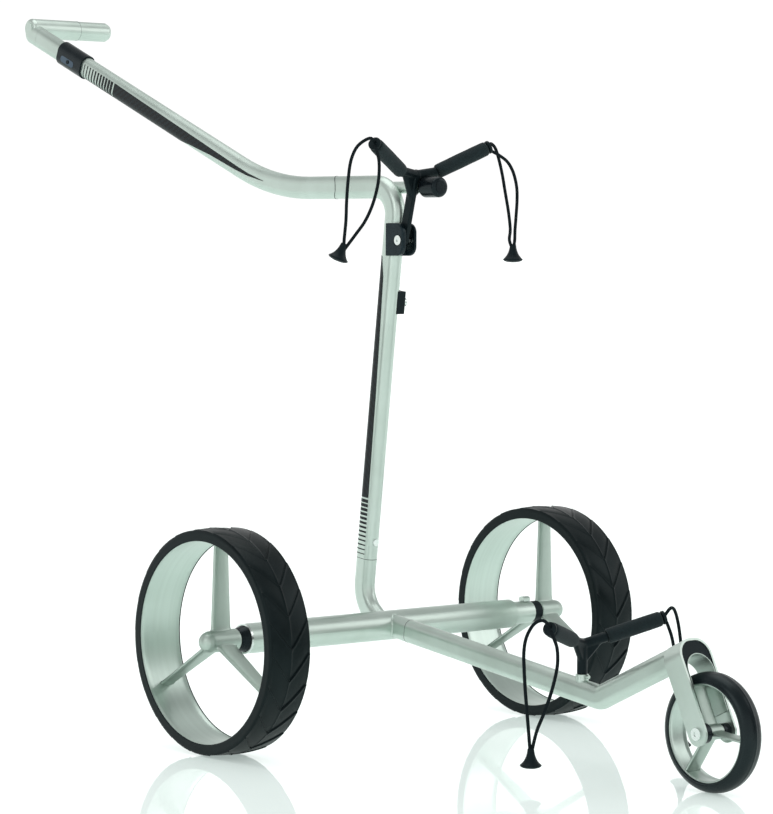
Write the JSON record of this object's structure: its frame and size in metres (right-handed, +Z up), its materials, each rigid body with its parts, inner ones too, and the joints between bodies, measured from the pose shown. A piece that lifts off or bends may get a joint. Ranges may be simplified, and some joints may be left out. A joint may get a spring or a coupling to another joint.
{
  "type": "electric golf trolley",
  "caption": "Electric golf trolley with two driven spoked rear wheels, a fork-held front wheel, a plug-together oval tube frame, padded bag holders and an angled handle.",
  "frame": {"origin": "on the floor under the middle of the trolley's outer box", "axes": "+X forward towards the front wheel, +Y to the trolley's left, +Z up"},
  "size_m": [1.4821, 0.612, 0.9644],
  "materials": {
    "frame_metal": "satin",
    "wheel_metal": "satin",
    "bright_metal": "polished",
    "inner_steel": "satin",
    "black_plastic": "matte",
    "clamp_plastic": "satin",
    "tyre_rubber": "matte",
    "foam": "matte",
    "cord": "matte",
    "carbon": "gloss",
    "cell_wrap": "satin"
  },
  "bodies": {
    "chassis": {"axle_tube": "frame_metal", "axle_end_ring": "bright_metal", "left_end_sleeve": "bright_metal", "neck_socket": "frame_metal", "shaft_stub": "frame_metal", "drive_units": "inner_steel", "axle_bearings": "inner_steel", "power_pack": "cell_wrap"},
    "release_catch": {"release_tab": "bright_metal"},
    "right_drive": {"right_drive_shaft": "inner_steel", "right_collar": "black_plastic"},
    "right_wheel": {"right_rim": "wheel_metal", "right_spokes": "wheel_metal", "right_tyre": "tyre_rubber"},
    "left_drive": {"left_drive_shaft": "inner_steel", "left_collar": "black_plastic"},
    "left_wheel": {"left_rim": "wheel_metal", "left_spokes": "wheel_metal", "left_tyre": "tyre_rubber"},
    "neck": {"neck_plug": "black_plastic", "neck_tube": "frame_metal", "neck_riser": "frame_metal", "fork_band": "frame_metal", "fork_liner": "black_plastic", "arch_trim": "bright_metal", "post_collar": "bright_metal", "front_axle": "bright_metal", "front_spacers": "black_plastic"},
    "front_wheel": {"front_rim": "wheel_metal", "front_spokes": "wheel_metal", "front_tyre": "tyre_rubber", "front_bearings": "inner_steel"},
    "lower_holder": {"lower_bracket": "black_plastic", "lower_sleeves": "foam", "lower_right_cord": "cord", "lower_left_cord": "cord", "lower_cones": "black_plastic"},
    "shaft": {"shaft_tube": "frame_metal", "shaft_plug": "black_plastic", "shaft_inlay": "carbon", "bracket_clamp": "clamp_plastic", "shaft_fasteners": "bright_metal", "stub_tube": "frame_metal", "rest_block": "black_plastic"},
    "lock_button": {"shaft_button": "bright_metal"},
    "cap": {"stub_cap": "black_plastic"},
    "upper_holder": {"upper_bracket": "black_plastic", "upper_sleeves": "foam", "upper_right_cord": "cord", "upper_left_cord": "cord", "upper_cones": "black_plastic"},
    "handle": {"handle_tube": "frame_metal", "handle_plug": "black_plastic", "handle_sleeve": "black_plastic", "handle_inlay": "carbon", "switch_plate": "bright_metal", "grip_tube": "frame_metal", "potentiometer": "inner_steel"},
    "power_button": {"switch_button": "black_plastic"},
    "knob": {"speed_knob": "frame_metal"}
  },
  "joints": [
    {"name": "right_drive_turn", "type": "hinge", "parent": "chassis", "child": "right_drive", "pos_m": [0.0885, -0.24, 0.142], "axis": [0, 1, 0], "continuous": true},
    {"name": "left_drive_turn", "type": "hinge", "parent": "chassis", "child": "left_drive", "pos_m": [0.0885, 0.248, 0.142], "axis": [0, 1, 0], "continuous": true},
    {"name": "right_wheel_off", "type": "slide", "parent": "right_drive", "child": "right_wheel", "axis": [0, -1, 0], "range_m": [0, 0.04]},
    {"name": "left_wheel_off", "type": "slide", "parent": "left_drive", "child": "left_wheel", "axis": [0, 1, 0], "range_m": [0, 0.04]},
    {"name": "release_tab_slide", "type": "slide", "parent": "chassis", "child": "release_catch", "axis": [0, -1, 0], "range_m": [0, 0.004], "stiffness_N_per_m": 600},
    {"name": "neck_off", "type": "slide", "parent": "chassis", "child": "neck", "axis": [0.9912, 0, -0.1323], "range_m": [0, 0.05]},
    {"name": "front_wheel_turn", "type": "hinge", "parent": "neck", "child": "front_wheel", "pos_m": [0.6701, 0, 0.071], "axis": [0, 1, 0], "continuous": true},
    {"name": "lower_holder_lift", "type": "slide", "parent": "neck", "child": "lower_holder", "axis": [0, 0, 1], "range_m": [0, 0.03]},
    {"name": "shaft_lift", "type": "slide", "parent": "chassis", "child": "shaft", "axis": [0.1188, 0, 0.9929], "range_m": [0, 0.06]},
    {"name": "lock_button_press", "type": "slide", "parent": "shaft", "child": "lock_button", "axis": [-0.9929, 0, 0.1188], "range_m": [0, 0.003], "stiffness_N_per_m": 1000},
    {"name": "upper_holder_tilt", "type": "hinge", "parent": "shaft", "child": "upper_holder", "pos_m": [0.1158, 0, 0.641], "axis": [0, 1, 0], "range_deg": [-7, 0]},
    {"name": "stub_cap_off", "type": "slide", "parent": "shaft", "child": "cap", "axis": [1, 0, 0], "range_m": [0, 0.03]},
    {"name": "handle_off", "type": "slide", "parent": "shaft", "child": "handle", "axis": [-1, 0, 0], "range_m": [0, 0.06]},
    {"name": "speed_knob_turn", "type": "hinge", "parent": "handle", "child": "knob", "pos_m": [-0.7265, 0.10065, 0.94988], "axis": [0, 1, 0], "range_deg": [0, 270]},
    {"name": "power_button_press", "type": "slide", "parent": "handle", "child": "power_button", "axis": [0, 1, 0], "range_m": [0, 0.0007], "stiffness_N_per_m": 500}
  ]
}
